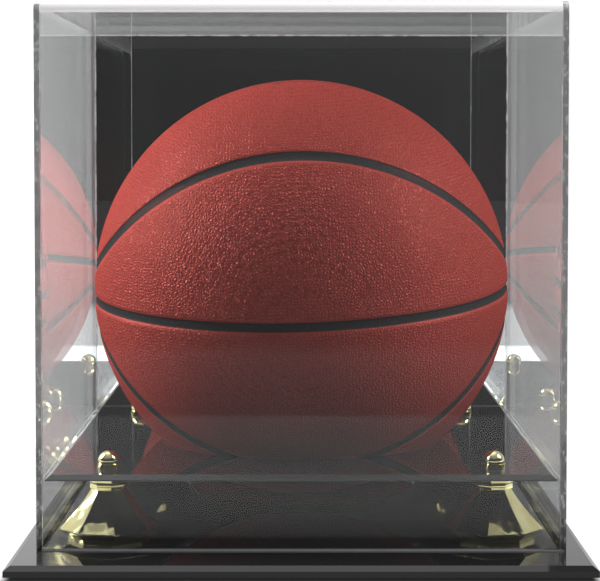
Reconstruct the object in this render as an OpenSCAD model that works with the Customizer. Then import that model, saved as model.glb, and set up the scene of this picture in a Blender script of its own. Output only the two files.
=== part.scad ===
// Tabletop display case for a ball: a clear lift-off cover with a mirrored back,
// a bevelled base plate, and a raised platform on four octagonal bell risers.
// Millimetres, +Z up, front of the case towards -Y.
// Origin: centre of the base plate's outline, at the surface that the feet stand on.

/* [Cover] */
// Outer width of the cover
cover_w = 276; // [250:1:320]
// Outer depth of the cover
cover_d = 276; // [252:1:320]
// Outer height of the cover
cover_h = 286; // [262:1:330]
// Thickness of the clear sheet
wall = 3; // [2:0.5:5]
// Thickness of the mirrored back sheet
mirror_t = 3; // [2:0.5:5]
// Outer radius of the bend between front and top
bend_r = 6; // [5.5:0.5:12]
// Width of the cement line between two sheets
cement = 0.1; // [0.05:0.05:0.2]

/* [Base plate] */
// Base showing in front of the cover
front_margin = 37.5; // [15:0.5:60]
// Base showing at each side of the cover and behind it
side_margin = 12; // [8:1:25]
// Thickness of the base plate
base_t = 5.5; // [4.5:0.5:8]
// Width of the bevel round the base plate
base_bevel_w = 3.2; // [1:0.1:5]
// Height of the bevel round the base plate
base_bevel_h = 2.4; // [1:0.1:3]
// Diameter of a bumper foot where it meets the base
foot_d = 12.8; // [8:0.1:16]
// Height of a bumper foot
foot_h = 1.6; // [1:0.1:4]
// How much a foot narrows towards the table, on the diameter
foot_taper = 1.6; // [0:0.1:3]
// Distance of a foot's centre from the base plate's edges
foot_inset = 20; // [12:1:40]

/* [Platform] */
// Clearance between the platform and the cover, all round
platform_clear = 1; // [0.5:0.1:3]
// Thickness of the platform
platform_t = 3; // [2.5:0.5:5]
// Width of the bevel round the platform
platform_bevel_w = 3.2; // [1:0.1:5]
// Height of the bevel round the platform
platform_bevel_h = 2.2; // [0.5:0.1:2.4]
// Diameter of the round seat cut through the platform
seat_d = 164; // [120:1:170]

/* [Risers] */
// Height of a riser
riser_h = 36; // [34:1:60]
// Distance of a riser's axis from the platform's edges
riser_inset = 30.5; // [29:0.5:36]
// Size across the corners of a riser's foot
riser_foot_d = 44; // [36:0.5:46]
// Height of the upright part of a riser's foot
riser_foot_h = 2.2; // [1:0.1:3]
// Size across the corners of a riser's rim, its widest part
riser_rim_d = 53; // [47:0.5:54]
// Height of the rim's lower edge
riser_rim_z = 5.8; // [4:0.1:8]
// Height of the rim's upright band
riser_rim_band = 0.8; // [0.4:0.1:2]
// Size across the corners of the neck under the collar
riser_neck_d = 19; // [18:0.2:20.2]
// Height of the neck
riser_neck_z = 27; // [22:0.5:28]
// Radius of the hollow sweep of a riser's eight sides
riser_sweep_r = 95; // [60:1:200]
// Size across the corners of the collar
riser_collar_d = 20.4; // [19.4:0.2:22]
// Height of the collar's upright band
riser_collar_h = 1.2; // [0.6:0.1:2]
// Size across the corners of the top flange
riser_flange_d = 24; // [22.4:0.2:26]
// Height of the groove between collar and flange
riser_groove_h = 2.7; // [2:0.1:3.4]
// Radius of the groove between collar and flange
riser_groove_r = 2; // [2:0.1:4]
// Wall of a riser over its hollow underside
riser_wall = 2.6; // [2:0.1:3.4]
// Outer diameter of the tube round the screw inside a riser
riser_tube_d = 10; // [8:0.2:12]
// Turn of a riser about its own axis, towards the middle of the case
riser_turn = 12; // [0:0.5:22.5]

/* [Fasteners] */
// Diameter of the screw
screw_d = 4; // [3:0.5:5]
// Diameter of the countersunk head
screw_head_d = 7.8; // [7:0.1:9]
// Diameter of the clearance holes for the screw
screw_hole_d = 4.4; // [4.3:0.1:5.4]
// How far the screw reaches into its nut
screw_reach = 5; // [3:0.5:6]
// Diameter of the ball of a nut
nut_d = 11.8; // [10:0.1:14]
// Height of a nut over the platform
nut_h = 8.4; // [7:0.1:11]
// Diameter of the collar under a nut
nut_collar_d = 12.6; // [8:0.1:14]
// Height of the collar under a nut
nut_collar_h = 1.4; // [1:0.1:2]
// Clearance round the screw in the nut, on the radius
thread_clear = 0.05; // [0.02:0.01:0.1]
// Width of the slots of the cross recess in a screw head
recess_w = 0.9; // [0.6:0.1:1.2]

/* [Ball] */
// Diameter of the ball
ball_d = 242; // [200:1:244]
// Gap between the ball and the edge of its seat
seat_gap = 0.3; // [0.2:0.1:0.6]
// Thickness of the leather panels
panel_t = 1.2; // [0.8:0.1:2]
// Thickness of the rubber carcass under the panels
carcass_t = 2.4; // [1.5:0.1:4]
// Width of the channels along the two great circles
channel_w = 5.2; // [3:0.1:8]
// Width of the channels along the two side curves, seen from the front
curve_channel_w = 4.7; // [2:0.1:7]
// Height of a side curve over the middle channel at the front, as a share of the radius
curve_rise = 0.718; // [0.6:0.002:0.8]
// Height of a side curve where it crosses the upright channel, as a share of the radius
curve_drop = 0.13; // [0.1:0.01:0.3]
// Forward lean of the ball
ball_lean = 6.3; // [-30:0.1:30]
// Sideways lean of the ball
ball_tip = -1.7; // [-30:0.1:30]
// Diameter of the valve
valve_d = 6; // [4:0.5:8]
// Diameter of the needle hole in the valve
needle_d = 1.2; // [0.8:0.1:2]
// Angle of the valve over the middle channel, at the back of the ball
valve_angle = 20; // [15:1:30]

/* [Hidden] */
$fn = 96;

FRONT_LEFT = [-1, -1];
FRONT_RIGHT = [1, -1];
REAR_LEFT = [-1, 1];
REAR_RIGHT = [1, 1];

black = [0.03, 0.03, 0.035];
gold = [0.86, 0.68, 0.28];
clear = [0.85, 0.92, 0.95, 0.35];
silver = [0.75, 0.77, 0.8];
orange = [0.64, 0.2, 0.13];
rubber = [0.05, 0.05, 0.05];
steel = [0.6, 0.6, 0.62];

over = 1;                                   // how far a cutter passes a face

// Plan of the case
base_w = cover_w + 2 * side_margin;
base_d = cover_d + front_margin + side_margin;
case_y = (front_margin - side_margin) / 2;  // centre of the cover and all under it
inner_w = cover_w - 2 * wall;
inner_d = cover_d - wall - mirror_t;
inner_y = case_y + (wall - mirror_t) / 2;   // centre of the space inside the cover
platform_w = inner_w - 2 * platform_clear;
platform_d = inner_d - 2 * platform_clear;
riser_x = platform_w / 2 - riser_inset;
riser_y = platform_d / 2 - riser_inset;
foot_x = base_w / 2 - foot_inset;
foot_y = base_d / 2 - foot_inset;

// Heights
base_top = foot_h + base_t;
platform_z = base_top + riser_h;
platform_top = platform_z + platform_t;
cover_front = case_y - cover_d / 2;

// Fasteners
screw_head_h = (screw_head_d - screw_d) / 2;
nut_r = nut_d / 2;
nut_centre = nut_h - nut_r;

// Octagon: half the width across the flats, from the size across the corners
OCTAGON_SIDES = 8;
octagon_step = 360 / OCTAGON_SIDES;
function flat_r(corner_d) = corner_d / 2 * cos(octagon_step / 2);

// Riser outline, as half widths across the flats
riser_foot_r = flat_r(riser_foot_d);
riser_rim_r = flat_r(riser_rim_d);
riser_neck_r = flat_r(riser_neck_d);
riser_collar_r = flat_r(riser_collar_d);
riser_flange_r = flat_r(riser_flange_d);
riser_rim_top = riser_rim_z + riser_rim_band;
riser_collar_z = riser_neck_z + (riser_collar_r - riser_neck_r);
riser_collar_top = riser_collar_z + riser_collar_h;
riser_flange_z = riser_collar_top + riser_groove_h;
sweep_centre = arc_centre([riser_rim_r, riser_rim_top], [riser_neck_r, riser_neck_z], riser_sweep_r);
groove_centre = arc_centre([riser_collar_r, riser_collar_top], [riser_flange_r, riser_flange_z], riser_groove_r);
// Centre of the circle through a and b, on the outer side as b lies over a
function arc_centre(a, b, r) = (a + b) / 2
    + [b.y - a.y, a.x - b.x] / norm(b - a) * sqrt(r ^ 2 - (norm(b - a) / 2) ^ 2);
hollow_foot_r = riser_foot_r - riser_wall;
hollow_top_r = riser_neck_r - riser_wall;

// Ball
ball_r = ball_d / 2;
carcass_r = ball_r - panel_t;
ball_z = platform_top + sqrt((ball_r + seat_gap) ^ 2 - (seat_d / 2) ^ 2);
// A side curve is where a round bar lying front to back meets the ball. Its circle
// passes over the front of the ball and through both crossings at the sides.
crossing_x = sqrt(1 - curve_drop ^ 2);
curve_r = ball_r * (crossing_x ^ 2 + (curve_rise - curve_drop) ^ 2) / (2 * (curve_rise - curve_drop));
curve_z = ball_r * curve_rise - curve_r;
valve_reach = 9;                            // length of the valve inside the ball
valve_flange_d = 2 * valve_d;
valve_flange_t = 1.6;
valve_sink = 0.4;                           // the valve's face lies below the leather
valve_clear = 0.1;

// ---------- shared shapes ----------

// A plate of w by d with its top edges bevelled, standing on z = 0
module bevelled_plate(w, d, t, bevel_w, bevel_h) {
    intersection() {
        rotate([90, 0, 0])
            linear_extrude(d, center = true) bevelled_section(w, t, bevel_w, bevel_h);
        rotate([90, 0, 90])
            linear_extrude(w, center = true) bevelled_section(d, t, bevel_w, bevel_h);
    }
}

module bevelled_section(w, t, bevel_w, bevel_h) {
    polygon([
        [-w / 2, 0], [w / 2, 0],
        [w / 2, t - bevel_h], [w / 2 - bevel_w, t],
        [-w / 2 + bevel_w, t], [-w / 2, t - bevel_h]
    ]);
}

// Places its children on the riser's axis in the given corner
module at_riser(corner) {
    translate([corner.x * riser_x, inner_y + corner.y * riser_y, 0]) children();
}

module at_all_risers() {
    for (corner = [FRONT_LEFT, FRONT_RIGHT, REAR_LEFT, REAR_RIGHT])
        at_riser(corner) children();
}

// Side outline of the cover, drawn from its front bottom corner: depth along x, height
// along y, rounded at the front top corner. inset is the distance inside the outer face.
module cover_outline(inset) {
    r = bend_r - inset;
    translate([bend_r, 0]) square([cover_d - bend_r, cover_h - inset]);
    translate([inset, 0]) square([cover_d - inset, cover_h - bend_r]);
    translate([bend_r, cover_h - bend_r]) circle(r);
}

// Stands a side outline up, from x = start, w wide
module stand_outline(start, w) {
    translate([start, cover_front, base_top])
        rotate([90, 0, 90]) linear_extrude(w) children();
}

// ---------- base ----------

module base_plate() {
    color(black)
    difference() {
        translate([0, 0, foot_h])
            bevelled_plate(base_w, base_d, base_t, base_bevel_w, base_bevel_h);
        at_all_risers() {
            cylinder(h = base_top + over, d = screw_hole_d);
            translate([0, 0, foot_h]) cylinder(h = screw_head_h, d1 = screw_head_d, d2 = screw_d);
        }
    }
}

module foot(corner) {
    color(rubber)
    translate([corner.x * foot_x, corner.y * foot_y, 0])
        cylinder(h = foot_h, d1 = foot_d - foot_taper, d2 = foot_d);
}

// ---------- platform ----------

module platform() {
    color(black)
    difference() {
        translate([0, inner_y, platform_z])
            bevelled_plate(platform_w, platform_d, platform_t, platform_bevel_w, platform_bevel_h);
        translate([0, inner_y, platform_z - over]) cylinder(h = platform_t + 2 * over, d = seat_d, $fn = 180);
        at_all_risers()
            translate([0, 0, platform_z - over]) cylinder(h = platform_t + 2 * over, d = screw_hole_d);
    }
}

// ---------- risers ----------

// One side view of a riser: foot, spreading rim, hollow sweep, collar, groove and flange
module riser_section() {
    difference() {
        polygon(concat(riser_half_outline(1), reversed(riser_half_outline(-1))));
        intersection() {
            for (side = [-1, 1])
                translate([side * sweep_centre.x, sweep_centre.y]) circle(riser_sweep_r, $fn = 360);
            translate([-riser_rim_r, riser_rim_top])
                square([2 * riser_rim_r, riser_neck_z - riser_rim_top]);
        }
        for (side = [-1, 1])
            translate([side * groove_centre.x, groove_centre.y]) circle(riser_groove_r, $fn = 48);
    }
}

function riser_half_outline(side) = [
    [side * riser_foot_r, 0],
    [side * riser_foot_r, riser_foot_h],
    [side * riser_rim_r, riser_rim_z],
    [side * riser_rim_r, riser_rim_top],
    [side * riser_neck_r, riser_neck_z],
    [side * riser_collar_r, riser_collar_z],
    [side * riser_collar_r, riser_collar_top],
    [side * riser_flange_r, riser_flange_z],
    [side * riser_flange_r, riser_h]
];

function reversed(points) = [for (i = [len(points) - 1 : -1 : 0]) points[i]];

// The octagon is what four crossed sections share
module riser_body() {
    intersection_for (i = [0 : OCTAGON_SIDES / 2 - 1])
        rotate([90, 0, (i + 0.5) * octagon_step])
            linear_extrude(2 * riser_rim_d, center = true) riser_section();
}

module riser(corner) {
    color(gold)
    at_riser(corner)
        translate([0, 0, base_top])
            difference() {
                rotate([0, 0, -corner.x * riser_turn]) riser_body();
                translate([0, 0, -over]) cylinder(h = riser_h + 2 * over, d = screw_hole_d);
                // hollow underside round the screw tube
                difference() {
                    cylinder(h = riser_neck_z, r1 = hollow_foot_r, r2 = hollow_top_r);
                    translate([0, 0, -over]) cylinder(h = riser_neck_z + 2 * over, d = riser_tube_d);
                }
            }
}

// ---------- fasteners ----------

module screw(corner) {
    shaft_l = base_t + riser_h + platform_t + screw_reach;
    color(steel)
    at_riser(corner)
        translate([0, 0, foot_h])
            difference() {
                union() {
                    cylinder(h = screw_head_h, d1 = screw_head_d, d2 = screw_d);
                    cylinder(h = shaft_l, d = screw_d);
                }
                // cross recess
                for (turn = [0, 90])
                    rotate([0, 0, turn])
                        cube([screw_head_d / 2, recess_w, screw_head_h], center = true);
            }
}

module ball_nut(corner) {
    color(gold)
    at_riser(corner)
        translate([0, 0, platform_top])
            difference() {
                union() {
                    cylinder(h = nut_collar_h, d = nut_collar_d);
                    intersection() {
                        translate([0, 0, nut_centre]) sphere(nut_r);
                        cylinder(h = nut_h + over, r = nut_r + over);
                    }
                }
                translate([0, 0, -over])
                    cylinder(h = screw_reach + over, r = screw_d / 2 + thread_clear);
            }
}

// ---------- cover ----------

// Front and top, bent from one sheet that sits between the side panels
module cover_wrap() {
    color(clear)
    stand_outline(cement - inner_w / 2, inner_w - 2 * cement)
        difference() {
            cover_outline(0);
            // the space inside, open below and behind
            translate([0, -over]) cover_outline(wall);
            translate([bend_r, -over]) square([cover_d, cover_h - wall + over]);
            translate([wall, -over]) square([cover_d, cover_h - bend_r + over]);
        }
}

module side_panel(side) {
    color(clear)
    stand_outline(side > 0 ? inner_w / 2 : -cover_w / 2, wall)
        cover_outline(0);
}

module back_mirror() {
    color(silver)
    translate([cement - inner_w / 2, cover_front + cover_d - mirror_t, base_top])
        cube([inner_w - 2 * cement, mirror_t, cover_h - wall - cement]);
}

// ---------- ball ----------

module at_ball() {
    translate([0, inner_y, ball_z]) rotate([ball_lean, ball_tip, 0]) children();
}

// Turns +Z to the valve's direction, at the back of the ball
module at_valve() {
    rotate([valve_angle - 90, 0, 0]) children();
}

// A hollow bar front to back, whose wall cuts one side curve
module curve_cutter() {
    translate([0, 0, curve_z]) rotate([90, 0, 0])
        difference() {
            cylinder(h = 2 * ball_d, r = curve_r + curve_channel_w / 2, center = true, $fn = 180);
            cylinder(h = 3 * ball_d, r = curve_r - curve_channel_w / 2, center = true, $fn = 180);
        }
}

// The upper side curve only; the bar's lower half is cut away
module side_curve() {
    intersection() {
        curve_cutter();
        translate([-ball_d, -ball_d, 0]) cube([2 * ball_d, 2 * ball_d, ball_d]);
    }
}

module ball_carcass() {
    color(rubber)
    at_ball()
        difference() {
            sphere(carcass_r);
            sphere(carcass_r - carcass_t);
            at_valve() cylinder(h = ball_d, d = valve_d + 2 * valve_clear);
        }
}

// Eight leather panels, parted by two great circles and two side curves
module ball_panels() {
    color(orange)
    at_ball()
        difference() {
            sphere(ball_r);
            sphere(carcass_r);
            cube([2 * ball_d, 2 * ball_d, channel_w], center = true);
            cube([2 * ball_d, channel_w, 2 * ball_d], center = true);
            side_curve();
            mirror([0, 0, 1]) side_curve();
            at_valve() cylinder(h = ball_d, d = valve_d + 2 * valve_clear);
        }
}

module ball_valve() {
    face = ball_r - valve_sink;
    flange_z = carcass_r - carcass_t - valve_flange_t - valve_clear * 2;
    color(rubber)
    at_ball() at_valve()
        difference() {
            union() {
                translate([0, 0, face - valve_reach]) cylinder(h = valve_reach, d = valve_d);
                translate([0, 0, flange_z]) cylinder(h = valve_flange_t, d = valve_flange_d);
            }
            translate([0, 0, face - valve_reach - over])
                cylinder(h = valve_reach + 2 * over, d = needle_d);
        }
}

base_plate();
platform();
foot(FRONT_LEFT);  // foot_front_left
foot(FRONT_RIGHT);  // foot_front_right
foot(REAR_LEFT);  // foot_rear_left
foot(REAR_RIGHT);  // foot_rear_right
riser(FRONT_LEFT);  // riser_front_left
riser(FRONT_RIGHT);  // riser_front_right
riser(REAR_LEFT);  // riser_rear_left
riser(REAR_RIGHT);  // riser_rear_right
screw(FRONT_LEFT);  // screw_front_left
screw(FRONT_RIGHT);  // screw_front_right
screw(REAR_LEFT);  // screw_rear_left
screw(REAR_RIGHT);  // screw_rear_right
ball_nut(FRONT_LEFT);  // ball_nut_front_left
ball_nut(FRONT_RIGHT);  // ball_nut_front_right
ball_nut(REAR_LEFT);  // ball_nut_rear_left
ball_nut(REAR_RIGHT);  // ball_nut_rear_right
cover_wrap();
side_panel(-1);  // side_panel_left
side_panel(1);  // side_panel_right
back_mirror();
ball_carcass();
ball_panels();
ball_valve();
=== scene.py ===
"""Looks of a ball display case: clear cover with a mirrored back, black base and platform, gold risers."""

import logging
import math
from dataclasses import dataclass, field
from enum import Enum
from typing import Any, Iterable

import bpy
import numpy as np
from mathutils import Euler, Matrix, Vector


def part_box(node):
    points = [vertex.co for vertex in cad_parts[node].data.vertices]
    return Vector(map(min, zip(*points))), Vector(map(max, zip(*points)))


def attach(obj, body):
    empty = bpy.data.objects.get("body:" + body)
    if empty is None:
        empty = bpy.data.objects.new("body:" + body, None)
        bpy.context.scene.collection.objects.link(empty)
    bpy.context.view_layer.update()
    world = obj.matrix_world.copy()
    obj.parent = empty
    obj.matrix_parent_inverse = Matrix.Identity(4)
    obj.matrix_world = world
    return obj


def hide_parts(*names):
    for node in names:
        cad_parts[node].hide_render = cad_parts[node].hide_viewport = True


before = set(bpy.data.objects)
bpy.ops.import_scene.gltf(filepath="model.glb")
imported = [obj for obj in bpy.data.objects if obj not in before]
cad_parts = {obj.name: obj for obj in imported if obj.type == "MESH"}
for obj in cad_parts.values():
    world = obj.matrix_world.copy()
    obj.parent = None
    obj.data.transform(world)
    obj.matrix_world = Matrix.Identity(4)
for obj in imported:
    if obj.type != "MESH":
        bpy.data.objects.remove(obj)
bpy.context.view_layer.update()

log = logging.getLogger("display_case")

MM = 0.001
ACRYLIC_IOR = 1.49
Colour = tuple[float, float, float]
Place = tuple[float, float, float]
WHITE: Colour = (1.0, 1.0, 1.0)


# ---------------------------------------------------------------- shader maths


class Value:
    """A shader socket, or a number, that takes part in Python arithmetic."""

    def __init__(self, kit: "Shader", source: Any) -> None:
        """Wraps a socket or a number of one material's node tree."""
        self.kit = kit
        self.source = source

    def _math(self, operation: str, *others: Any, swap: bool = False) -> "Value":
        """Adds a Math node.

        Args:
            operation: the Math node's operation.
            others: the other operands.
            swap: puts the other operand first.

        Returns:
            The node's result.
        """
        operands = [self, *others]
        if swap:
            operands.reverse()
        made = self.kit.node("ShaderNodeMath", {"operation": operation}, dict(enumerate(operands)))
        return Value(self.kit, made.outputs[0])

    def __add__(self, other: Any) -> "Value":
        """Sum."""
        return self._math("ADD", other)

    def __sub__(self, other: Any) -> "Value":
        """Difference."""
        return self._math("SUBTRACT", other)

    def __rsub__(self, other: Any) -> "Value":
        """Difference, with the number first."""
        return self._math("SUBTRACT", other, swap=True)

    def __mul__(self, other: Any) -> "Value":
        """Product."""
        return self._math("MULTIPLY", other)

    def __truediv__(self, other: Any) -> "Value":
        """Quotient."""
        return self._math("DIVIDE", other)

    def __pow__(self, other: Any) -> "Value":
        """Power."""
        return self._math("POWER", other)

    def __abs__(self) -> "Value":
        """Absolute value."""
        return self._math("ABSOLUTE")

    def root(self) -> "Value":
        """Square root."""
        return self._math("SQRT")

    def least(self, other: Any) -> "Value":
        """Smaller of the two."""
        return self._math("MINIMUM", other)

    def most(self, other: Any) -> "Value":
        """Larger of the two."""
        return self._math("MAXIMUM", other)

    def above(self, other: Any) -> "Value":
        """1 where this is the larger, else 0."""
        return self._math("GREATER_THAN", other)

    def ramp(self, low: float, high: float, start: float = 0.0, end: float = 1.0) -> "Value":
        """Smooth step.

        Args:
            low: where the step begins.
            high: where it ends.
            start: the result up to low.
            end: the result from high on.

        Returns:
            The stepped value.
        """
        made = self.kit.node(
            "ShaderNodeMapRange",
            {"interpolation_type": "SMOOTHSTEP"},
            {0: self, 1: low, 2: high, 3: start, 4: end},
        )
        return Value(self.kit, made.outputs[0])


class Shader:
    """One material's node tree and the few ways in which nodes are added to it."""

    def __init__(self, name: str) -> None:
        """Makes an empty material of that name."""
        self.material = bpy.data.materials.new(name)
        self.material.use_nodes = True
        self.tree = self.material.node_tree
        self.tree.nodes.clear()

    @classmethod
    def of_tree(cls, tree: Any) -> "Shader":
        """Wraps a node tree that is there already, such as a world's, and empties it."""
        made = cls.__new__(cls)
        made.tree = tree
        tree.nodes.clear()
        return made

    def node(
        self, kind: str, settings: dict[str, Any] | None = None, inputs: dict[Any, Any] | None = None,
    ) -> Any:
        """Adds a node.

        Args:
            kind: the node's type.
            settings: the node's own settings, set before its sockets.
            inputs: a number, colour, Value or socket for each socket, by name or place.

        Returns:
            The node.
        """
        made = self.tree.nodes.new(kind)
        for key, setting in (settings or {}).items():
            setattr(made, key, setting)
        for key, given in (inputs or {}).items():
            given = given.source if isinstance(given, Value) else given
            if isinstance(given, bpy.types.NodeSocket):
                self.tree.links.new(given, made.inputs[key])
            else:
                made.inputs[key].default_value = given
        return made

    def value(self, socket: Any) -> Value:
        """Wraps a socket for arithmetic."""
        return Value(self, socket)

    def place(self, location: Vector | None = None, rotation: Euler | None = None) -> Any:
        """Object coordinates.

        Args:
            location: the centre that they are measured from.
            rotation: the turn that they are measured in.

        Returns:
            The vector socket.
        """
        made = self.node("ShaderNodeTexCoord").outputs["Object"]
        if location is None:
            return made
        turned = {"Vector": made, "Location": location, "Rotation": rotation or Euler((0, 0, 0))}
        return self.node("ShaderNodeMapping", {"vector_type": "TEXTURE"}, turned).outputs[0]

    def axes(self, vector: Any) -> tuple[Value, Value, Value]:
        """Parts of a vector as three values."""
        parts = self.node("ShaderNodeSeparateXYZ", inputs={0: vector})
        return tuple(self.value(part) for part in parts.outputs)

    def normal(self) -> tuple[Value, Value, Value]:
        """Parts of the surface's own direction."""
        return self.axes(self.node("ShaderNodeTexCoord").outputs["Normal"])

    def stretch(self, vector: Any, shares: Place) -> Any:
        """Scales coordinates along each axis, so that noise is drawn out where the share is under 1."""
        return self.node("ShaderNodeMapping", inputs={"Vector": vector, "Scale": Vector(shares)}).outputs[0]

    def noise(self, vector: Any, scale: float, detail: float = 2.0, roughness: float = 0.5) -> Value:
        """Soft noise.

        Args:
            vector: the coordinates that it follows.
            scale: how many of its waves lie in a metre.
            detail: how many finer layers it has.
            roughness: how strong the finer layers are.

        Returns:
            The noise, mostly between 0.3 and 0.7.
        """
        inputs = {"Vector": vector, "Scale": scale, "Detail": detail, "Roughness": roughness}
        return self.value(self.node("ShaderNodeTexNoise", inputs=inputs).outputs[0])

    def mix(self, factor: Any, first: Any, second: Any) -> Any:
        """Blends two colours.

        Args:
            factor: 0 for the first, 1 for the second.
            first: a colour or a colour socket.
            second: a colour or a colour socket.

        Returns:
            The colour socket.
        """
        first, second = ((*c, 1.0) if isinstance(c, tuple) else c for c in (first, second))
        made = self.node("ShaderNodeMix", {"data_type": "RGBA"}, {0: factor, 6: first, 7: second})
        return made.outputs[2]

    def bump(self, height: Value, distance: float, strength: float = 1.0, under: Any = None) -> Any:
        """Bends the light by a height.

        Args:
            height: the height, in units of distance.
            distance: how high a height of 1 is, in metres.
            strength: share of the effect.
            under: a bump that this one lies on.

        Returns:
            The normal socket.
        """
        inputs = {"Height": height, "Distance": distance, "Strength": strength}
        if under is not None:
            inputs["Normal"] = under
        return self.node("ShaderNodeBump", inputs=inputs).outputs[0]

    def surface(self, **inputs: Any) -> Any:
        """Adds a Principled surface whose sockets have the given values, and returns its socket."""
        named = {key.replace("_", " "): given for key, given in inputs.items()}
        named = {key: (*given, 1.0) if isinstance(given, tuple) else given for key, given in named.items()}
        return self.node("ShaderNodeBsdfPrincipled", inputs=named).outputs[0]

    def glossy(self, colour: Colour, rough: Any, normal: Any = None) -> Any:
        """Adds a surface that only reflects.

        Args:
            colour: the tint of what it reflects.
            rough: 0 for a sharp reflection, 1 for a blurred one.
            normal: a bump's normal socket, or None.

        Returns:
            The surface socket.
        """
        inputs = {"Color": (*colour, 1.0), "Roughness": rough}
        if normal is not None:
            inputs["Normal"] = normal
        return self.node("ShaderNodeBsdfGlossy", inputs=inputs).outputs[0]

    def blend(self, factor: Any, first: Any, second: Any) -> Any:
        """Mixes two surfaces and returns the mixed socket."""
        return self.node("ShaderNodeMixShader", inputs={0: factor, 1: first, 2: second}).outputs[0]

    def finish(self, surface: Any) -> bpy.types.Material:
        """Joins the surface to the output and returns the material."""
        self.node("ShaderNodeOutputMaterial", inputs={"Surface": surface})
        return self.material


# ---------------------------------------------------------------- finishes


@dataclass(frozen=True)
class BlackAcrylic:
    """Polished black sheet with a faint film of dust and polishing marks.

    The platform's bevel is less polished than its face, and its side edges are grey as sawn, with painted
    glints.
    """

    colour: Colour = (0.014, 0.014, 0.015)
    dust: Colour = (0.06, 0.06, 0.062)
    gloss: float = 0.015
    haze: float = 0.035
    wipe_scale: float = 14.0
    speck_scale: float = 900.0
    speck_cover: float = 0.5
    speck_rough: float = 0.2
    wave_scale: float = 9.0
    wave: float = 0.06 * MM
    platform_above: float = 30 * MM
    bevel_rough: float = 0.4
    sawn: Colour = (0.3, 0.3, 0.31)
    sawn_rough: float = 0.4
    # glint: white of the painted glints on the platform's sawn side edges
    glint: Colour = (0.95, 0.96, 0.97)
    glint_scale: float = 150.0

    def material(self) -> bpy.types.Material:
        """Builds the material."""
        kit = Shader("black_acrylic")
        where = kit.place()
        across, backward, _ = kit.normal()
        platform = kit.axes(where)[2].above(self.platform_above)
        wipes = kit.noise(where, self.wipe_scale, 4.0).ramp(0.4, 0.7)
        specks = kit.noise(where, self.speck_scale, 1.0).ramp(0.7, 0.78)
        rough = wipes * self.haze + specks * self.speck_rough + self.gloss
        rough = rough + abs(backward).above(0.3) * platform * self.bevel_rough
        colour = kit.mix(specks * self.speck_cover, self.colour, self.dust)
        wave = kit.bump(kit.noise(where, self.wave_scale, 1.0), self.wave, 0.4)
        sheet = kit.surface(Base_Color=colour, Roughness=rough, IOR=ACRYLIC_IOR, Normal=wave)
        # painted glints: white specks on the grey sawn side edges, standing in for reflected light
        glints = kit.noise(where, self.glint_scale, 3.0, 0.6).ramp(0.5, 0.6)
        colour = kit.mix(glints, self.sawn, self.glint)
        sawn = kit.surface(Base_Color=colour, Roughness=self.sawn_rough, IOR=ACRYLIC_IOR)
        return kit.finish(kit.blend(abs(across).above(0.9) * platform, sheet, sawn))


class CutFace(Enum):
    """Which faces of a clear sheet are cut edges."""

    ACROSS_X = 0
    ENDS_X = 1


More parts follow.
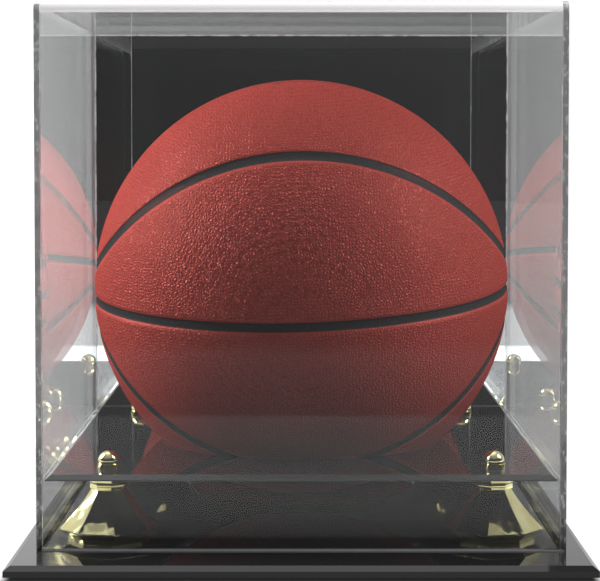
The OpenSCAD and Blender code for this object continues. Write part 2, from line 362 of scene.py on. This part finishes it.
@dataclass(frozen=True)
class ClearAcrylic:
    """Clear sheet: light goes straight through, and each face reflects more at low angles.

    low and high are the corners of the cover's box.
    """

    name: str
    cut: CutFace
    low: Vector
    high: Vector
    tint: Colour = (0.985, 0.99, 0.99)
    straight_on: float = 0.0095
    film: float = 0.05
    film_rough: float = 0.8
    gloss: float = 0.004
    smear: float = 0.012
    smear_scale: float = 20.0
    # glint: white of the painted glints on the cemented ends and of the painted highlight along the foot
    glint: Colour = (0.95, 0.96, 0.97)
    glint_scale: float = 70.0
    cemented: Colour = (0.42, 0.43, 0.44)
    cut_rough: float = 0.35
    # foot_highlight, foot_highlight_cover: painted highlight, a thin light band along the foot of each
    # sheet, and how much of it shows
    foot_highlight: float = 0.75 * MM
    foot_highlight_cover: float = 0.95
    rear: Colour = (0.75, 0.75, 0.77)
    rear_rough: float = 0.5
    # bend, bend_painted_glow, bend_highlight_cover: painted highlight, a near-white glowing band over the
    # bend of the clear sheet
    bend: Colour = (0.98, 0.95, 0.96)
    bend_radius: float = 6.0 * MM
    bend_highlight_cover: float = 0.92
    bend_rough: float = 0.3
    bend_painted_glow: float = 0.35
    bend_dimming: float = 0.9
    edge: Colour = (0.4, 0.405, 0.41)
    edge_bright: Colour = (0.9, 0.91, 0.93)
    # edge_painted_shade, edge_shade_fades: painted shade, the sawn edge is darkened near the base and the
    # shade fades out between these heights over the foot
    edge_painted_shade: Colour = (0.05, 0.055, 0.055)
    edge_shade_fades: tuple[float, float] = (52 * MM, 64 * MM)
    saw_scale: float = 420.0
    saw_length: float = 0.45
    saw_depth: float = 0.2 * MM

    def material(self) -> bpy.types.Material:
        """Builds the material."""
        kit = Shader(self.name)
        where = kit.place()
        _, deep, high = kit.axes(where)
        sheet = self.pane(kit, where, deep, high)
        # painted highlight: the lowest band of each sheet is given a light surface
        top = self.low.z + self.foot_highlight
        foot_highlight = high.ramp(top, top + 0.1 * MM, self.foot_highlight_cover, 0.0)
        light = kit.surface(Base_Color=self.glint, Roughness=self.cut_rough, IOR=ACRYLIC_IOR)
        sheet = kit.blend(foot_highlight, sheet, light)
        if self.cut is CutFace.ACROSS_X:
            return kit.finish(self.side(kit, where, sheet, deep, high))
        return kit.finish(self.wrap(kit, where, sheet))

    def pane(self, kit: Shader, where: Any, deep: Value, high: Value) -> Any:
        """Builds the clear faces, which reflect little in the bend and have a thin film in front.

        Args:
            kit: the material's node tree.
            where: object coordinates.
            deep: distance towards the back.
            high: height over the table.

        Returns:
            The surface socket.
        """
        facing = kit.value(kit.node("ShaderNodeLayerWeight", inputs={"Blend": 0.5}).outputs["Facing"])
        mirrored = (facing ** 5.0) * (1.0 - self.straight_on) + self.straight_on
        if self.cut is CutFace.ENDS_X:
            in_front = 1.0 - deep.above(self.low.y + self.bend_radius)
            in_bend = high.above(self.high.z - self.bend_radius) * in_front
            mirrored = mirrored * (1.0 - in_bend * self.bend_dimming)
        through = kit.node("ShaderNodeBsdfTransparent", inputs={"Color": (*self.tint, 1.0)}).outputs[0]
        rough = kit.noise(where, self.smear_scale, 3.0).ramp(0.45, 0.75) * self.smear + self.gloss
        sheet = kit.blend(mirrored, through, kit.glossy(WHITE, rough))
        faces_front = (0.0 - kit.normal()[1]).above(0.5)
        return kit.blend(faces_front * self.film, sheet, kit.glossy(WHITE, self.film_rough))

    def side(self, kit: Shader, where: Any, sheet: Any, deep: Value, high: Value) -> Any:
        """Adds a side panel's sawn front edge and its light rear end.

        Args:
            kit: the material's node tree.
            where: object coordinates.
            sheet: the surface that the edges go over.
            deep: distance towards the back.
            high: height over the table.

        Returns:
            The surface socket.
        """
        backward = kit.normal()[1]
        rear = kit.surface(Base_Color=self.rear, Roughness=self.rear_rough)
        sheet = kit.blend(abs(backward).above(0.7) * deep.above(0.0), sheet, rear)
        front = (0.0 - backward).above(0.7) * (1.0 - deep.above(0.0))
        return kit.blend(front, sheet, self.saw_cut(kit, where, high))

    def wrap(self, kit: Shader, where: Any, sheet: Any) -> Any:
        """Adds the bend, painted near white and made to glow as a painted highlight, and the cemented ends
        of the sheet that is bent over the front, with painted glints.

        Args:
            kit: the material's node tree.
            where: object coordinates.
            sheet: the surface that they go over.

        Returns:
            The surface socket.
        """
        across, _, upward = kit.normal()
        # painted highlight: the bend is painted near white and glows, though it is clear sheet
        bent = upward.ramp(0.03, 0.2) * upward.ramp(0.9, 0.995, 1.0, 0.0)
        glow = kit.surface(
            Base_Color=self.bend, Roughness=self.bend_rough, IOR=ACRYLIC_IOR,
            Emission_Color=self.bend, Emission_Strength=self.bend_painted_glow,
        )
        sheet = kit.blend(bent * self.bend_highlight_cover, sheet, glow)
        # painted glints: white specks mixed into the grey of the cemented ends
        glints = kit.noise(where, self.glint_scale, 2.0).ramp(0.58, 0.66)
        colour = kit.mix(glints, self.cemented, self.glint)
        joint = kit.surface(Base_Color=colour, Roughness=self.cut_rough, IOR=ACRYLIC_IOR)
        return kit.blend(abs(across).above(0.7), sheet, joint)

    def saw_cut(self, kit: Shader, where: Any, high: Value) -> Any:
        """Builds the sawn edge: grey and glassy, with short chips along it, and painted shade that darkens
        it near the base.

        Args:
            kit: the material's node tree.
            where: object coordinates.
            high: height over the table.

        Returns:
            The surface socket.
        """
        along = kit.stretch(where, (1.0, 1.0, self.saw_length))
        chips = kit.noise(along, self.saw_scale, 3.0, 0.6)
        # painted shade: the edge is darkened below these heights
        clear = high.ramp(*(self.low.z + start for start in self.edge_shade_fades))
        body = kit.mix(clear, self.edge_painted_shade, self.edge)
        colour = kit.mix(chips.ramp(0.52, 0.66) * 0.8, body, self.edge_bright)
        lines = kit.bump(chips, self.saw_depth, 0.4)
        return kit.surface(
            Base_Color=colour, Roughness=chips.ramp(0.3, 0.7, 0.25, 0.4), IOR=ACRYLIC_IOR, Normal=lines,
            Alpha=chips.ramp(0.35, 0.65, 0.9, 0.8),
        )


@dataclass(frozen=True)
class MirrorAcrylic:
    """Silvered sheet with a painted highlight, a broken light line along its rim, and painted grey behind.

    low and high are the corners of the sheet's box.
    """

    low: Vector
    high: Vector
    rim: float = 0.6 * MM
    # rim_highlight: painted highlight, the light colour of the broken line along the rim
    rim_highlight: Colour = (0.7, 0.71, 0.73)
    rim_highlight_rough: float = 0.4
    silver: Colour = (0.86, 0.87, 0.88)
    gloss: float = 0.004
    edge_rough: float = 0.1
    paint: Colour = (0.3, 0.31, 0.32)
    paint_pale: Colour = (0.34, 0.35, 0.36)
    paint_rough: float = 0.45
    paint_grain: float = 0.2 * MM
    mottle_scale: float = 160.0

    def material(self) -> bpy.types.Material:
        """Builds the material."""
        kit = Shader("mirror_acrylic")
        where = kit.place()
        backward = kit.normal()[1]
        painted = backward.above(0.5)
        front = (0.0 - backward).above(0.5)
        x, _, z = kit.axes(where)
        mottle = kit.noise(where, self.mottle_scale, 4.0)
        inside = (self.high.x - abs(x)).least(self.high.z - z)
        # painted highlight: a broken light line along the top and side rims
        rim = inside.ramp(self.rim * 0.6, self.rim * 1.1, 1.0, 0.0) * mottle.ramp(0.35, 0.65, 0.15, 0.7)
        paint = kit.mix(mottle.ramp(0.3, 0.7), self.paint, self.paint_pale)
        colour = kit.mix(front, paint, self.silver)
        rough = painted * self.paint_rough + (1.0 - front) * self.edge_rough + self.gloss
        skin = kit.bump(mottle * painted, self.paint_grain, 0.5)
        sheet = kit.surface(Base_Color=colour, Metallic=front, Roughness=rough, Normal=skin)
        edge = kit.surface(Base_Color=self.rim_highlight, Roughness=self.rim_highlight_rough)
        return kit.finish(kit.blend(rim, sheet, edge))


@dataclass(frozen=True)
class GoldPlate:
    """Bright gold with slightly uneven plating over upright dents in slightly hollow sides."""

    colour: Colour = (0.82, 0.77, 0.42)
    deep: Colour = (0.7, 0.62, 0.28)
    cloud_scale: float = 90.0
    grain_scale: float = 1500.0
    grain: float = 0.01
    hollow: float = 0.08
    dent_scale: float = 85.0
    dent_width: float = 0.35
    dent: float = 1.6 * MM

    def material(self) -> bpy.types.Material:
        """Builds the material."""
        kit = Shader("gold_plate")
        where = kit.place()
        cloud = kit.noise(where, self.cloud_scale, 3.0)
        grain = kit.noise(where, self.grain_scale, 2.0)
        colour = kit.mix(cloud.ramp(0.35, 0.7), self.colour, self.deep)
        rough = cloud.ramp(0.3, 0.8, 0.05, 0.14)
        upright = kit.stretch(where, (1.0, 1.0, self.dent_width))
        dents = kit.noise(upright, self.dent_scale, 1.0)
        hollow = kit.bump(kit.axes(where)[2], self.hollow)
        skin = kit.bump(dents + grain * self.grain, self.dent, 0.8, hollow)
        return kit.finish(kit.surface(Base_Color=colour, Metallic=1.0, Roughness=rough, Normal=skin))


@dataclass(frozen=True)
class PlainFinish:
    """Matte moulded rubber, or zinc plate where it is metallic, with a fine grain."""

    name: str
    colour: Colour = (0.022, 0.022, 0.023)
    metallic: float = 0.0
    rough: float = 0.6
    rough_spread: float = 0.08
    grain_scale: float = 1200.0
    grain: float = 0.1 * MM

    def material(self) -> bpy.types.Material:
        """Builds the material."""
        kit = Shader(self.name)
        where = kit.place()
        grain = kit.noise(where, self.grain_scale, 2.0)
        lighter = tuple(min(1.0, part * 1.5 + 0.01) for part in self.colour)
        colour = kit.mix(grain.ramp(0.4, 0.75), self.colour, lighter)
        rough = grain.ramp(0.3, 0.7, self.rough - self.rough_spread, self.rough + self.rough_spread)
        skin = kit.bump(grain, self.grain, 0.4)
        inputs = {"Base_Color": colour, "Metallic": self.metallic, "Roughness": rough, "Normal": skin}
        return kit.finish(kit.surface(**inputs))


@dataclass(frozen=True)
class BallSeams:
    """Where the black channels of the ball run, in the ball's own turned frame.

    Two channels are great circles, z = 0 and y = 0. Each side curve is where a round bar
    that lies front to back would meet the ball.
    """

    radius: float = 121.0 * MM
    width: float = 5.2 * MM
    side_width: float = 6.8 * MM
    rise: float = 0.718
    drop: float = 0.13
    lean: float = math.radians(6.3)
    tip: float = math.radians(-1.7)

    @property
    def turn(self) -> Euler:
        """Turn of the ball in the case."""
        return Euler((self.lean, self.tip, 0.0))

    @property
    def bar_radius(self) -> float:
        """Radius of the bar that cuts a side curve, as a share of the ball's."""
        climb = self.rise - self.drop
        return (1.0 - self.drop ** 2 + climb ** 2) / (2.0 * climb)

    @property
    def bar_height(self) -> float:
        """Height of the bar's axis, as a share of the ball's radius."""
        return self.rise - self.bar_radius

    def beyond(self, x: Any, y: Any, z: Any, root: Any, least: Any) -> Any:
        """Distance beyond the edge of the nearest channel.

        Args:
            x: sideways part of the direction from the ball's centre.
            y: front to back part.
            z: upward part.
            root: square root for these values.
            least: smaller of two of these values.

        Returns:
            The distance in metres, below 0 inside a channel.
        """
        high = abs(z)
        up = high - self.bar_height
        reach = root(x * x + up * up)
        across = (x * x + high * up) / reach
        slant = root(1.0 - across * across)
        side = abs(reach - self.bar_radius) / slant * self.radius - self.side_width / 2
        great = least(high, abs(y)) * self.radius - self.width / 2
        return least(great, side)


@dataclass(frozen=True)
class BallLeather:
    """Pebbled red-brown leather, black in the channels."""

    seams: BallSeams
    centre: Vector
    colour: Colour = (0.42, 0.056, 0.044)
    pale: Colour = (0.47, 0.068, 0.055)
    # dark: colour of the painted shade in the creases between pebbles
    dark: Colour = (0.25, 0.03, 0.024)
    channel: Colour = (0.04, 0.042, 0.043)
    channel_rough: float = 0.2
    channel_dulling: float = 0.9
    cloud_scale: float = 26.0
    crease_shading: float = 0.85
    # share of the painted highlight along the channels' edges, where the pebbles are also smoothed
    smooth_rim_and_painted_highlight_share: float = 0.6
    pebble: float = 1.75 * MM
    pebble_height: float = 0.42 * MM
    groove: float = 0.7 * MM
    sheen: Colour = (1.0, 0.28, 0.24)
    shine: float = 0.055
    shine_rough: float = 0.36

    def material(self) -> bpy.types.Material:
        """Builds the material."""
        kit = Shader("ball_leather")
        where = kit.place(self.centre, self.seams.turn)
        x, y, z = (part / self.seams.radius for part in kit.axes(where))
        away = self.seams.beyond(x, y, z, Value.root, Value.least)
        in_channel = away.ramp(-0.35 * MM, 0.1 * MM, 1.0, 0.0)
        # painted highlight: a pale band along each channel's edge, which also smooths the pebbles there
        smooth_rim_and_painted_highlight = away.ramp(0.2 * MM, 2.2 * MM, 1.0, 0.0) * self.smooth_rim_and_painted_highlight_share
        pebbles = self.pebbles(kit, where)
        cloud = kit.noise(where, self.cloud_scale, 4.0, 0.6)
        leather = kit.mix(cloud.ramp(0.35, 0.68), self.colour, self.pale)
        # painted shade: the creases between the pebbles are darkened
        leather = kit.mix(pebbles.ramp(0.0, 0.4, self.crease_shading, 0.0), leather, self.dark)
        leather = kit.mix(smooth_rim_and_painted_highlight, leather, self.pale)
        colour = kit.mix(in_channel, leather, self.channel)
        rough = in_channel * self.channel_rough + cloud.ramp(0.3, 0.7, 0.38, 0.43)
        skin = kit.bump(away.ramp(-1.2 * MM, 1.0 * MM), self.groove, 0.6)
        skin = kit.bump(pebbles * (1.0 - in_channel.most(smooth_rim_and_painted_highlight)), self.pebble_height, 0.9, skin)
        matte = kit.surface(Base_Color=colour, Roughness=rough, Normal=skin, Specular_IOR_Level=0.0)
        shine = kit.glossy(self.sheen, self.shine_rough, skin)
        return kit.finish(kit.blend((1.0 - in_channel * self.channel_dulling) * self.shine, matte, shine))

    def pebbles(self, kit: Shader, where: Any) -> Value:
        """Height of the rounded pebbles, 0 in the creases between them and 1 on top."""
        inputs = {"Vector": where, "Scale": 1.0 / self.pebble, "Randomness": 0.7}
        edge = kit.node("ShaderNodeTexVoronoi", {"feature": "DISTANCE_TO_EDGE"}, inputs).outputs["Distance"]
        return kit.value(edge).ramp(0.0, 0.42)


# ---------------------------------------------------------------- pieces


def deselect() -> None:
    """Leaves nothing selected, as an operator acts on all that is."""
    bpy.ops.object.select_all(action="DESELECT")


def dress(nodes: Iterable[str], material: bpy.types.Material) -> None:
    """Gives CAD nodes a material.

    Args:
        nodes: the nodes' names.
        material: what they are made of.
    """
    for name in nodes:
        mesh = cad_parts[name].data
        mesh.materials.clear()
        mesh.materials.append(material)
        log.info("dressed %s in %s", name, material.name)


def corners(stem: str) -> list[str]:
    """Names of a piece's four copies at the corners of the case."""
    return [f"{stem}_{end}_{side}" for end in ("front", "rear") for side in ("left", "right")]


@dataclass
class Stand:
    """Base plate, platform and what joins them."""

    black: BlackAcrylic = field(default_factory=BlackAcrylic)
    gold: GoldPlate = field(default_factory=GoldPlate)

    def build(self) -> None:
        """Dresses the pieces."""
        dress(["base_plate", "platform"], self.black.material())
        dress(corners("riser") + corners("ball_nut"), self.gold.material())
        dress(corners("foot"), PlainFinish("bumper_rubber").material())
        zinc = PlainFinish("screw_steel", (0.55, 0.55, 0.57), 1.0, 0.32)
        dress(corners("screw"), zinc.material())


@dataclass
class Cover:
    """Clear cover with its mirrored back."""

    mirror: str = "back_mirror"

    def build(self) -> None:
        """Dresses the pieces."""
        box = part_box("cover_wrap")
        sides = ClearAcrylic("clear_side", CutFace.ACROSS_X, *box)
        wrap = ClearAcrylic("clear_wrap", CutFace.ENDS_X, *box)
        dress(["side_panel_left", "side_panel_right"], sides.material())
        dress(["cover_wrap"], wrap.material())
        dress([self.mirror], MirrorAcrylic(*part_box(self.mirror)).material())


@dataclass
class Ball:
    """Leather skin of the ball, with its channels pressed in."""

    seams: BallSeams = field(default_factory=BallSeams)
    cells: int = 126
    depth: float = 0.95 * MM
    shoulder: float = 1.3 * MM

    @property
    def centre(self) -> Vector:
        """Middle of the ball."""
        low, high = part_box("ball_carcass")
        return (low + high) / 2

    def build(self) -> bpy.types.Object:
        """Builds and dresses the leather skin and returns it."""
        deselect()
        bpy.ops.mesh.primitive_cube_add(size=2.0)
        skin = bpy.context.object
        skin.name = "ball_leather"
        bpy.ops.object.mode_set(mode="EDIT")
        bpy.ops.mesh.select_all(action="SELECT")
        bpy.ops.mesh.subdivide(number_cuts=self.cells - 1)
        bpy.ops.object.mode_set(mode="OBJECT")
        self.shape(skin.data)
        skin.data.materials.append(BallLeather(self.seams, self.centre).material())
        bpy.ops.object.shade_smooth()
        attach(skin, "ball")
        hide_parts("ball_panels")
        dress(["ball_carcass", "ball_valve"], PlainFinish("ball_rubber").material())
        log.info("ball leather: %d faces", len(skin.data.polygons))
        return skin

    def shape(self, mesh: bpy.types.Mesh) -> None:
        """Rounds the cut-up cube to a ball and presses its channels in.

        Args:
            mesh: the cube's mesh, with evenly spaced points from -1 to 1.
        """
        flat = np.empty(len(mesh.vertices) * 3)
        mesh.vertices.foreach_get("co", flat)
        points = np.tan(flat.reshape(-1, 3) * math.pi / 4)
        points /= np.linalg.norm(points, axis=1, keepdims=True)
        away = self.seams.beyond(*points.T, np.sqrt, np.minimum)
        step = np.clip(away / self.shoulder + 0.5, 0.0, 1.0)
        step = step * step * (3.0 - 2.0 * step)
        radius = self.seams.radius - self.depth * (1.0 - step)
        turn = np.array(self.seams.turn.to_matrix())
        placed = (points * radius[:, None]) @ turn.T + np.array(self.centre)
        mesh.vertices.foreach_set("co", placed.ravel())
        mesh.update()


# ---------------------------------------------------------------- studio


@dataclass(frozen=True)
class Camera:
    """Long lens in front of the case, a little above its middle."""

    image_width: int = 600
    image_height: int = 581
    focal_px: float = 1941.7
    middle_px: tuple[float, float] = (301.3, 226.7)
    pitch: float = math.radians(2.4558)
    ahead: float = 1003.4 * MM
    height: float = 212.3 * MM
    sensor: float = 36.0

    def build(self) -> None:
        """Adds the camera and makes it the scene's."""
        data = bpy.data.cameras.new("camera")
        data.sensor_width = self.sensor
        data.lens = self.focal_px / self.image_width * self.sensor
        data.shift_x = (self.image_width / 2 - self.middle_px[0]) / self.image_width
        data.shift_y = (self.middle_px[1] - self.image_height / 2) / self.image_width
        data.clip_start, data.clip_end = 0.05, 60.0
        camera = bpy.data.objects.new("camera", data)
        bpy.context.scene.collection.objects.link(camera)
        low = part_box("cover_wrap")[0]
        camera.location = (0.0, low.y - self.ahead, low.z + self.height)
        camera.rotation_euler = (math.pi / 2 - self.pitch, 0.0, 0.0)
        bpy.context.scene.camera = camera


@dataclass(frozen=True)
class Lamp:
    """One soft box."""

    name: str
    place: Place
    aim: Place
    size: tuple[float, float]
    watts: float

    def build(self) -> None:
        """Adds the soft box."""
        data = bpy.data.lights.new(self.name, "AREA")
        data.shape = "RECTANGLE"
        data.size, data.size_y = self.size
        data.energy = self.watts
        lamp = bpy.data.objects.new(self.name, data)
        bpy.context.scene.collection.objects.link(lamp)
        lamp.location = self.place
        lamp.visible_camera = False
        lamp.rotation_euler = (Vector(self.aim) - Vector(self.place)).to_track_quat("-Z", "Y").to_euler()


@dataclass(frozen=True)
class Studio:
    """White table and backdrop, with a dark room in front of the case for the mirror to show.

    Reflections show a table that ends in front of the case, and a wall behind it that is
    brighter on the left. side_glare holds the wall's light on the left and on the right.
    """

    world_light: float = 0.02
    dark_room: float = 0.018
    ceiling: float = 0.31
    side_glare: tuple[float, float] = (1.25, 0.86)
    wall_turn: float = 0.15
    wall_top: float = 0.75
    wall_middle: float = 0.78
    table_glare: float = 2.0
    table_behind: float = 1.3
    far_table: float = 0.75
    table_edge: float = -0.68
    table_end: float = -1.29
    table_seen: float = 1.1
    table_fill: float = 0.02
    table_colour: Colour = (0.1, 0.1, 0.1)
    glow_share: float = 0.92
    # painted_contact_shadow: painted shadow, how dim the table shows in reflections next to the base
    painted_contact_shadow: float = 0.35
    wall_matched_from: float = 1.13
    floor_half: float = 6.0
    floor_drop: float = 0.5 * MM
    lamps: tuple[Lamp, ...] = (
        Lamp("left", (-1.1, 0.24, 0.72), (0.0, 0.01, 0.135), (0.6, 0.8), 26.5),
        Lamp("right", (1.02, -0.28, 0.9), (0.0, 0.01, 0.135), (0.5, 0.6), 15.5),
        Lamp("top", (-0.4, 0.5, 2.2), (-0.4, 0.5, 0.0), (1.6, 1.6), 10.0),
    )

    def build(self) -> None:
        """Adds the world, the floor and the lamps."""
        self.world()
        self.floor()
        for lamp in self.lamps:
            lamp.build()
        bpy.context.scene.view_settings.view_transform = "Standard"

    def world(self) -> None:
        """White to the camera; in reflections a bright wall behind the case and a dark room in front."""
        world = bpy.data.worlds.new("studio")
        bpy.context.scene.world = world
        world.use_nodes = True
        kit = Shader.of_tree(world.node_tree)
        path = kit.node("ShaderNodeLightPath").outputs
        sideways, backward, upward = kit.axes(kit.node("ShaderNodeTexCoord").outputs["Generated"])
        wall = sideways.ramp(-self.wall_turn, self.wall_turn, *self.side_glare)
        wall = wall * upward.ramp(0.0, 0.25, 1.0, self.wall_top)
        wall = wall * abs(sideways).ramp(0.08, 0.115, self.wall_middle, 1.0)
        shown = backward.ramp(-0.05, 0.3) * (wall - self.dark_room) + self.dark_room
        shown = shown.most(upward.ramp(0.42, 0.58, 0.0, self.ceiling))
        camera = kit.value(path["Is Camera Ray"])
        seen = camera.most(kit.value(path["Is Glossy Ray"]))
        direct = camera * (1.0 - kit.value(path["Transparent Depth"]).above(0.5))
        strength = (seen * shown + (1.0 - seen) * self.world_light).most(direct)
        light = {"Color": (*WHITE, 1.0), "Strength": strength}
        light = kit.node("ShaderNodeBackground", inputs=light).outputs[0]
        kit.node("ShaderNodeOutputWorld", inputs={"Surface": light})

    def floor(self) -> None:
        """White table that keeps the case's shadow and, in reflections, ends in front of the case and
        carries a painted shadow next to the base.
        """
        deselect()
        bpy.ops.mesh.primitive_plane_add(size=2 * self.floor_half, location=(0.0, 0.0, -self.floor_drop))
        floor = bpy.context.object
        floor.name = "floor"
        kit = Shader("white_table")
        diffuse = {"Color": (*self.table_colour, 1.0)}
        diffuse = kit.node("ShaderNodeBsdfDiffuse", inputs=diffuse).outputs[0]
        path = kit.node("ShaderNodeLightPath").outputs
        camera, glossy = kit.value(path["Is Camera Ray"]), kit.value(path["Is Glossy Ray"])
        x, y, _ = kit.axes(kit.place())
        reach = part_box("base_plate")[1]
        out = (abs(x) - reach.x).most(abs(y) - reach.y)
        covered = out.ramp(-3 * MM, 4 * MM, 1.0, 0.0)
        # painted shadow: in reflections the table is dimmed close to the base
        shown = self.table_in_reflections(x, y) * out.ramp(0.01, 0.13, self.painted_contact_shadow, 1.0)
        shown = shown.most(camera * self.table_seen)
        glow = {"Color": (*WHITE, 1.0), "Strength": shown * (1.0 - covered) + self.table_fill}
        glow = kit.node("ShaderNodeEmission", inputs=glow).outputs[0]
        surface = kit.blend(camera.most(glossy) * self.glow_share, diffuse, glow)
        floor.data.materials.append(kit.finish(surface))

    def table_in_reflections(self, x: Value, y: Value) -> Value:
        """Light of the table: bright near the case, dimmer further off, and like the wall behind it.

        Args:
            x: place across the table.
            y: place along it, towards the back.

        Returns:
            The light.
        """
        ahead = y.ramp(self.table_end, self.table_end + 0.2, self.dark_room, self.far_table)
        ahead = ahead.most(y.ramp(self.table_edge - 0.03, self.table_edge + 0.02, 0.0, self.table_glare))
        left, right = self.side_glare
        sideways = x / (y + self.wall_matched_from)
        behind = sideways.ramp(-self.wall_turn, self.wall_turn, 1.0, right / left)
        behind = behind * y.ramp(1.2, self.floor_half, self.table_behind, left)
        near = y.ramp(-0.1, 0.1, 1.0, 0.0)
        return ahead * near + behind * (1.0 - near)


def main() -> None:
    """Builds the camera, the pieces and the studio in order."""
    logging.basicConfig(level=logging.INFO, format="%(name)s: %(message)s")
    Camera().build()
    Stand().build()
    Cover().build()
    Ball().build()
    Studio().build()


if __name__ == "__main__":
    main()
